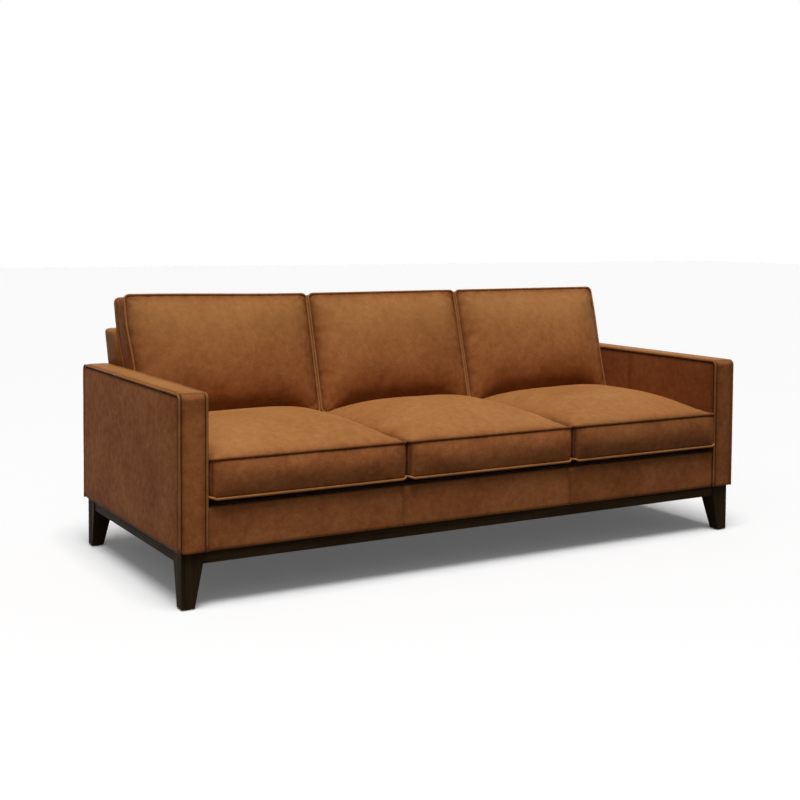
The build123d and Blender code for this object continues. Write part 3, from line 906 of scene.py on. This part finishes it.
def bandAlong(bm, across, cuts):
    # the line becomes a band by one sweep, cut into rows
    made = bmesh.ops.extrude_edge_only(bm, edges=bm.edges[:])["geom"]
    bmesh.ops.translate(bm, verts=vertsOf(made), vec=across)
    rungs = []
    for edge in bm.edges:
        run = edge.verts[0].co - edge.verts[1].co
        parallel = abs(run.normalized().dot(across.normalized())) > 0.999
        if parallel and abs(run.length - across.length) < tiny:
            rungs.append(edge)
    bmesh.ops.subdivide_edges(bm, edges=rungs, cuts=cuts, use_grid_fill=True)


armPanel = {
    "thick": 0.004,
    "rise": 0.0045,
    "reach": 0.022,
    "wave": 0.0016,
    "innerSeam": 0.012,
    "flatSeam": 0.006,
}
armBand = {
    "thick": 0.005,
    "rise": 0.0035,
    "reach": 0.012,
    "wave": 0.0008,
    "corner": 0.018,
    "crossSeam": 0.011,
    "topDepth": 0.012,
    "turnSteps": 8,
    "spacing": 0.012,
    "rows": 10,
}
armPiping = {
    "radius": 0.0040,
    "inset": 0.0030,
    "wander": 0.0006,
    "wanderSize": 0.08,
    # wear, and painted shade on the piping
    "tone": (0.5, 0.2),
    "steps": {"upright": 20, "turn": 8, "top": 40},
}
armSeeds = {"outer": 11, "inner": 15, "strip": 21, "piping": 41}


def facePanel(name, low, high, facing, settings, material, nodes, seed, seams=()):
    # a flat sheet in the plane of the box, bulged towards the facing axis
    axis = 0 if abs(facing.x) > 0.5 else 1
    other = 1 - axis
    size = high - low
    cell = coverDetail["cell"]
    columns = int(size[other] / cell)
    reach = size[other] / columns / 2 - tiny
    bm = bmesh.new()
    bmesh.ops.create_grid(bm, x_segments=columns, y_segments=int(size.z / cell), size=0.5)
    level = high[axis] if facing[axis] > 0 else low[axis]
    for vert in bm.verts:
        u, v = vert.co.x, vert.co.y
        spot = Vector((0, 0, low.z + (v + 0.5) * size.z))
        spot[other] = low[other] + (u + 0.5) * size[other]
        for seam in seams:
            if abs(spot[other] - seam) < reach:
                spot[other] = seam
        spot[axis] = level - facing[axis] * settings["thick"] * 0.5
        vert.co = spot
    bm.normal_update()
    if bm.faces[:][0].normal.dot(facing) < 0:
        bmesh.ops.reverse_faces(bm, faces=bm.faces[:])

    def spanAlong(spot):
        gaps = [spot[other] - low[other], high[other] - spot[other]]
        gaps += [abs(spot[other] - seam) + settings["flatSeam"] for seam in seams]
        return min(gaps)

    def spanUp(spot):
        return min(spot.z - low.z, high.z - spot.z)

    return sewCover(name, bm, (spanAlong, spanUp), settings, seed, material, nodes)


def archPoints(edge, low, high, corner, seed):
    # up the front of an arm, over its top and down its rear, with rounded corners and a little wander
    inset = armPiping["inset"]
    steps = armPiping["steps"]
    turn = corner - inset
    straight = high.z - corner - low.z
    length = high.y - low.y - 2 * corner
    route = []
    for step in range(steps["upright"]):
        route.append((low.y + inset, low.z + straight * step / steps["upright"]))
    for centre, begin in ((low.y + corner, math.pi), (high.y - corner, math.pi / 2)):
        for step in range(steps["turn"] + 1):
            angle = begin - step * math.pi / 2 / steps["turn"]
            route.append((centre + turn * math.cos(angle), high.z - corner + turn * math.sin(angle)))
        if begin == math.pi:
            for step in range(1, steps["top"]):
                route.append((low.y + corner + length * step / steps["top"], high.z - inset))
    for step in range(1, steps["upright"] + 1):
        route.append((high.y - inset, high.z - corner - straight * step / steps["upright"]))
    points = [Vector((edge, along, up)) for along, up in route]
    for point in points:
        point.x += armPiping["wander"] * ripple(point, armPiping["wanderSize"], seed)
    return points


def makeArm(side):
    sign = sideOf[side]
    leather = leathers[f"arm_{side}"]
    outerLow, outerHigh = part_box(f"arm_outer_panel_{side}")
    outer = facePanel(f"arm_outer_cover_{side}", outerLow, outerHigh, Vector((sign, 0, 0)), armPanel, leather,
                      (f"arm_outer_panel_{side}",), armSeeds["outer"] + sign)
    innerLow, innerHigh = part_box(f"arm_inner_panel_{side}")
    inner = facePanel(f"arm_inner_cover_{side}", innerLow, innerHigh, Vector((-sign, 0, 0)), armPanel,
                      leather, (f"arm_inner_panel_{side}",), armSeeds["inner"] + sign,
                      (armPanel["innerSeam"],))
    low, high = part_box(f"arm_strip_{side}")
    radius = armBand["corner"]
    bm = bmesh.new()
    edge = low.x
    walkPath(bm, (edge, low.y, low.z), (
        ("to", Vector((edge, low.y, high.z - radius))),
        ("turn", (edge, low.y + radius, high.z - radius), armBand["turnSteps"]),
        ("to", Vector((edge, high.y - radius, high.z))),
        ("turn", (edge, high.y - radius, high.z - radius), armBand["turnSteps"]),
        ("to", Vector((edge, high.y, low.z))),
    ), armBand["spacing"])
    bandAlong(bm, Vector((high.x - low.x, 0, 0)), armBand["rows"])
    faceOut(bm, Vector((0, 0, 1)))

    def spanAcross(spot):
        return min(spot.x - low.x, high.x - spot.x)

    def spanSeam(spot):
        onTop = spot.z > high.z - armBand["topDepth"]
        cross = armBand["crossSeam"]
        return min(abs(spot.y - low.y - cross), abs(high.y - cross - spot.y)) if onTop else 1.0

    strip = sewCover(f"arm_strip_cover_{side}", bm, (spanAcross, spanSeam), armBand, armSeeds["strip"] + sign,
                     leather, (f"arm_strip_{side}", f"arm_pad_{side}"))
    for cover in (outer, inner, strip):
        refine(cover)
    low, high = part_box(f"arm_welts_{side}")
    inset = armPiping["inset"]
    seed = armSeeds["piping"] + sign
    runs = [archPoints(edge, low, high, radius, seed) for edge in (low.x + inset, high.x - inset)]
    tube(f"arm_piping_{side}", runs, armPiping["radius"], "frame", leather, armPiping["tone"], False,
         (f"arm_welts_{side}",))


for side in sideOf:
    makeArm(side)
print("arms made")


# front rail: three panels, rolled over at the top and under at the bottom
railCover = {
    "thick": 0.004,
    "rise": 0.0035,
    "reach": 0.014,
    "wave": 0.0014,
    "roll": 0.010,
    "rollSteps": 6,
    "tucked": 0.02,
    "under": 0.003,   # how far a panel runs on under its neighbour
    "underSlope": 0.6,
    "flatSeam": 0.005,
    "spacing": 0.008,
    "columns": 60,
    "evenGrid": 0.3,
    "firstSeed": 2,
}


def makeRailPanel(place, number):
    low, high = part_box(f"front_panel_{place}")
    roll = railCover["roll"]
    under = railCover["under"]
    start = low.x - (under if place != "left" else 0.0)
    finish = high.x + (under if place != "right" else 0.0)
    bm = bmesh.new()
    walkPath(bm, (start, low.y + railCover["tucked"], low.z), (
        ("to", Vector((start, low.y + roll, low.z))),
        ("turn", (start, low.y + roll, low.z + roll), railCover["rollSteps"]),
        ("to", Vector((start, low.y, high.z - roll))),
        ("turn", (start, low.y + roll, high.z - roll), railCover["rollSteps"]),
        ("to", Vector((start, high.y, high.z))),
    ), railCover["spacing"])
    bandAlong(bm, Vector((finish - start, 0, 0)), railCover["columns"])
    for vert in bm.verts:
        share = easedShare(2 * (vert.co.x - start) / (finish - start) - 1, railCover["evenGrid"])
        vert.co.x = start + (share + 1) / 2 * (finish - start)
    faceOut(bm, Vector((0, -1, 0)))

    def spanAlong(spot):
        return min(spot.x - low.x, high.x - spot.x) + railCover["flatSeam"]

    def spanUp(spot):
        return max(high.y - spot.y, 0)

    for vert in bm.verts:
        vert.co.y += railCover["underSlope"] * max(0.0, low.x - vert.co.x, vert.co.x - high.x)
    cover = sewCover(f"front_rail_cover_{place}", bm, (spanAlong, spanUp), railCover,
                     railCover["firstSeed"] + number, leathers[f"rail_{place}"], (f"front_panel_{place}",))
    refine(cover)


for number, place in enumerate(places):
    makeRailPanel(place, number)
print("front rail made")


# back: outer and inner panels, and the strip over the top and ends
backPanel = {
    "thick": 0.004,
    "rise": 0.006,
    "reach": 0.030,
    "wave": 0.0025,
    "flatSeam": 0.006,
    "seams": (-0.333335, 0.333335),
    "seeds": {"outer": 31, "inner": 33},
}
backCap = {
    "thick": 0.004,
    "soft": 0.012,
    "softSteps": 5,
    "cuts": 90,
    "frontBack": 0.113,
    "endBulge": 0.015,
    "endReach": 0.02,
    "armClear": (0.004, 0.020),   # the ends bulge from here above the arms
    "uprightEdge": 0.05,
    "longEdge": 0.2,
    "endFacing": 0.3,
    "underFacing": 0.9,
    "wornAndLitTop": (0.3, 0.95),
    "paintedLightEnd": (0.5, 0.9),
}


def makeBackCap(seamLine):
    low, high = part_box("back_edge_strip")
    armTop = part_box("arm_strip_left")[1].z
    bm = bmesh.new()
    bmesh.ops.create_cube(bm, size=1.0)
    bmesh.ops.scale(bm, verts=bm.verts[:], vec=high - low)
    bmesh.ops.translate(bm, verts=bm.verts[:], vec=(low + high) / 2)
    frontTop = high.y - backCap["frontBack"]
    for vert in bm.verts:
        if vert.co.y < (low.y + high.y) / 2:
            vert.co.y = frontTop + (vert.co.z - high.z) * math.tan(slope)
    longTop = [edge for edge in bm.edges if min(vert.co.z for vert in edge.verts) > high.z - tiny]
    ends = [edge for edge in bm.edges
            if edge not in longTop and abs(edge.verts[0].co.z - edge.verts[1].co.z) > backCap["uprightEdge"]]
    bmesh.ops.bevel(bm, geom=longTop + ends, offset=backCap["soft"], offset_type="OFFSET",
                    segments=backCap["softSteps"], profile=0.5, affect="EDGES", material=-1)
    # below the seam only the ends stay
    bmesh.ops.bisect_plane(bm, geom=wholeMesh(bm), plane_co=(0, 0, seamLine), plane_no=(0, 0, 1))
    unwanted = []
    for face in bm.faces:
        below = face.calc_center_median().z < seamLine
        if face.normal.z < -backCap["underFacing"] or (below and abs(face.normal.x) < backCap["endFacing"]):
            unwanted.append(face)
    bmesh.ops.delete(bm, geom=unwanted, context="FACES")
    longEdges = [edge for edge in bm.edges if edge.calc_length() > backCap["longEdge"]]
    bmesh.ops.subdivide_edges(bm, edges=longEdges, cuts=backCap["cuts"], use_grid_fill=True)
    faceOut(bm, Vector((0, 0, 1)))
    wearAndLightLayer = leatherLayers(bm)[1]
    bulgeFrom, bulgeFull = (armTop + clear for clear in backCap["armClear"])
    for vert in bm.verts:
        atEnd = smoothStep(high.x - backCap["endReach"], high.x, abs(vert.co.x))
        bulge = backCap["endBulge"] * (smoothStep(bulgeFrom, bulgeFull, vert.co.z) * atEnd)
        vert.co.x += math.copysign(bulge, vert.co.x)
        # lighter on top for wear and painted light from above; the ends lighter for painted light from the
        # side
        wornAndLitTop = smoothStep(*backCap["wornAndLitTop"], vert.normal.z)
        vert[wearAndLightLayer] = max(wornAndLitTop, smoothStep(*backCap["paintedLightEnd"], abs(vert.normal.x)))
    bmesh.ops.solidify(bm, geom=bm.faces[:], thickness=backCap["thick"])
    return addPiece("back_edge_cover", bm, "frame", leathers["back_frame"], ("back_edge_strip",))


def makeBack():
    leather = leathers["back_frame"]
    seeds = backPanel["seeds"]
    low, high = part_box("back_outer_panel")
    outer = facePanel("back_outer_cover", low, high, Vector((0, 1, 0)), backPanel, leather,
                      ("back_outer_panel",), seeds["outer"], backPanel["seams"])
    low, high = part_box("back_inner_panel")
    inner = facePanel("back_inner_cover", low, high, Vector((0, -1, 0)), backPanel, leather,
                      ("back_inner_panel", "back_pad", "back_webbing"), seeds["inner"], backPanel["seams"])
    for vert in inner.data.vertices:
        vert.co.y += (vert.co.z - low.z) * math.tan(slope)
    cap = makeBackCap(high.z)
    for cover in (outer, inner):
        refine(cover)


makeBack()
print("back made")


# base: rails and tapered legs with eased edges
baseWood = {"ease": 0.0025, "segments": 3, "flat": math.radians(2), "sharp": 0.5, "shortest": 0.02}


def easedCopy(node, name, material):
    bm = bmesh.new()
    bm.from_mesh(frame["nodes"][node].data)
    bmesh.ops.remove_doubles(bm, verts=bm.verts[:], dist=tiny)
    bmesh.ops.dissolve_limit(bm, angle_limit=baseWood["flat"], verts=bm.verts[:], edges=bm.edges[:])
    bm.normal_update()
    sharp = []
    for edge in bm.edges:
        folded = len(edge.link_faces) == 2 and edge.calc_face_angle() > baseWood["sharp"]
        if folded and edge.calc_length() > baseWood["shortest"]:
            sharp.append(edge)
    bmesh.ops.bevel(bm, geom=sharp, offset=baseWood["ease"], offset_type="OFFSET",
                    segments=baseWood["segments"], profile=0.5, affect="EDGES", material=-1)
    bmesh.ops.triangulate(bm, faces=[face for face in bm.faces if len(face.verts) > 4])
    addPiece(name, bm, "frame", material, (node,), smooth=False)


for end in ("front", "rear"):
    easedCopy(f"base_rail_{end}", f"base_board_{end}", baseWoods[0])
    for side in sideOf:
        easedCopy(f"leg_{end}_{side}", f"tapered_leg_{end}_{side}", baseWoods[2])
for side in sideOf:
    easedCopy(f"base_rail_{side}", f"base_board_{side}", baseWoods[1])
print("base made")


# sheets: the deck under the cushions and the dust cover under the springs
sheetDetail = {"cell": 0.04, "thick": 0.0016, "deckSag": 0.001, "legNotch": (1.012, 0.391)}


def makeSheet(name, node, material, nodes, sag, notch=None):
    low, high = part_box(node)
    size = high - low
    bm = bmesh.new()
    cell = sheetDetail["cell"]
    bmesh.ops.create_grid(bm, x_segments=int(size.x / cell), y_segments=int(size.y / cell), size=0.5)
    thickness = min(size.z, sheetDetail["thick"])
    for vert in bm.verts:
        u, v = vert.co.x, vert.co.y
        droop = sag * (1 - (2 * u) ** 2) * (1 - (2 * v) ** 2)
        vert.co = Vector((low.x + (u + 0.5) * size.x, low.y + (v + 0.5) * size.y, high.z - droop))
    if notch:
        for axis, limit in enumerate(notch):
            for side in (-1, 1):
                plane = Vector((0, 0, 0))
                plane[axis] = side
                bmesh.ops.bisect_plane(bm, geom=wholeMesh(bm), plane_co=plane * limit, plane_no=plane)
        corners = [face for face in bm.faces if abs(face.calc_center_median().x) > notch[0]
                   and abs(face.calc_center_median().y) > notch[1]]
        bmesh.ops.delete(bm, geom=corners, context="FACES")
    area = sum(face.calc_area() for face in bm.faces)
    bmesh.ops.solidify(bm, geom=bm.faces[:], thickness=thickness)
    cloth = addPiece(name, bm, "frame", material, nodes)


makeSheet("seat_deck_cloth", "deck_cloth", insideFinishes["deck_fabric"],
          ("deck_cloth", "spring_pad"), sheetDetail["deckSag"])
makeSheet("under_dust_cover", "dust_cover", insideFinishes["cambric"], ("dust_cover",), 0.0,
          sheetDetail["legNotch"])
print("sheets made")


# carried-over nodes keep their CAD shape and take these finishes
finishOfNode = {
    "frame_wood": ("arm_posts", "arm_top_rail", "arm_bottom_rail", "seat_rail", "seat_stretchers",
                   "back_posts", "back_top_rail", "back_bottom_rail", "corner_blocks"),
    "spring_steel": ("seat_springs", "spring_clips", "spring_tie_wires", "leg_bolts"),
    "glide_plastic": ("foot_glides",),
}


def finishFor(node):
    for finish, starts in finishOfNode.items():
        if node.startswith(starts):
            return insideFinishes[finish]
    return leathers["back_frame"]   # for nodes that a piece stands for, which aren't shown


for node, thing in frame["nodes"].items():
    thing.data.materials.clear()
    thing.data.materials.append(finishFor(node))
print("carried-over nodes finished")


# floor and light: white to the camera, with the shadow kept
stageSettings = {
    "floorSize": 60.0,
    "floorShown": 0.97,
    "floorGlow": 0.095,
    "floorBounce": 0.15,
    "ambient": 0.11,
    "overhead": {"strength": 2.52, "spread": math.radians(32), "from": Vector((-0.11, -0.26, 1.0))},
    "softbox": {"power": 36.0, "size": 4.5, "place": Vector((-3.8, -4.4, 4.4)), "aim": Vector((0, 0, 0.4))},
}


def seenDirectly(material):
    # one for camera, mirror and glass rays, nothing for the light that bounces
    path = addNode(material, "ShaderNodeLightPath")
    total = mathNode(material, "ADD", path.outputs["Is Camera Ray"], path.outputs["Is Glossy Ray"])
    total = mathNode(material, "ADD", total, path.outputs["Is Transmission Ray"])
    return mathNode(material, "MINIMUM", total, 1.0)


def makeFloor(settings):
    bm = bmesh.new()
    bmesh.ops.create_grid(bm, x_segments=1, y_segments=1, size=settings["floorSize"] / 2)
    mesh = bpy.data.meshes.new("floor")
    bm.to_mesh(mesh)
    bm.free()
    floor = bpy.data.objects.new("floor", mesh)
    scene.collection.objects.link(floor)
    material = newMaterial("floor_white")
    seen = seenDirectly(material)
    shown = settings["floorShown"]
    bounce = settings["floorBounce"]
    colour = rampNode(material, seen, (0.0, 1.0), ((bounce,) * 3, (shown,) * 3))
    shader = addNode(material, "ShaderNodeBsdfDiffuse")
    glow = addNode(material, "ShaderNodeEmission")
    both = addNode(material, "ShaderNodeAddShader")
    output = addNode(material, "ShaderNodeOutputMaterial")
    link(material, colour, shader.inputs["Color"])
    link(material, mathNode(material, "MULTIPLY", seen, settings["floorGlow"]), glow.inputs["Strength"])
    link(material, shader.outputs["BSDF"], both.inputs[0])
    link(material, glow.outputs["Emission"], both.inputs[1])
    link(material, both.outputs["Shader"], output.inputs["Surface"])
    mesh.materials.append(material)


def makeLight(settings):
    world = bpy.data.worlds.new("studio")
    scene.world = world
    world.use_nodes = True
    world.node_tree.nodes.clear()
    seen = seenDirectly(world)
    ambient = settings["ambient"]
    background = addNode(world, "ShaderNodeBackground")
    output = addNode(world, "ShaderNodeOutputWorld")
    colour = rampNode(world, seen, (0.0, 1.0), ((ambient,) * 3, (1.0,) * 3))
    link(world, colour, background.inputs["Color"])
    link(world, background.outputs["Background"], output.inputs["Surface"])
    overhead = settings["overhead"]
    sun = bpy.data.objects.new("overhead", bpy.data.lights.new("overhead", "SUN"))
    sun.data.energy = overhead["strength"]
    sun.data.angle = overhead["spread"]
    sun.rotation_euler = overhead["from"].to_track_quat("Z", "Y").to_euler()
    scene.collection.objects.link(sun)
    box = settings["softbox"]
    lamp = bpy.data.objects.new("softbox", bpy.data.lights.new("softbox", "AREA"))
    lamp.data.energy = box["power"]
    lamp.data.size = box["size"]
    lamp.location = box["place"]
    lamp.rotation_euler = (box["place"] - box["aim"]).to_track_quat("Z", "Y").to_euler()
    scene.collection.objects.link(lamp)


makeFloor(stageSettings)
makeLight(stageSettings)
print("floor and light set")
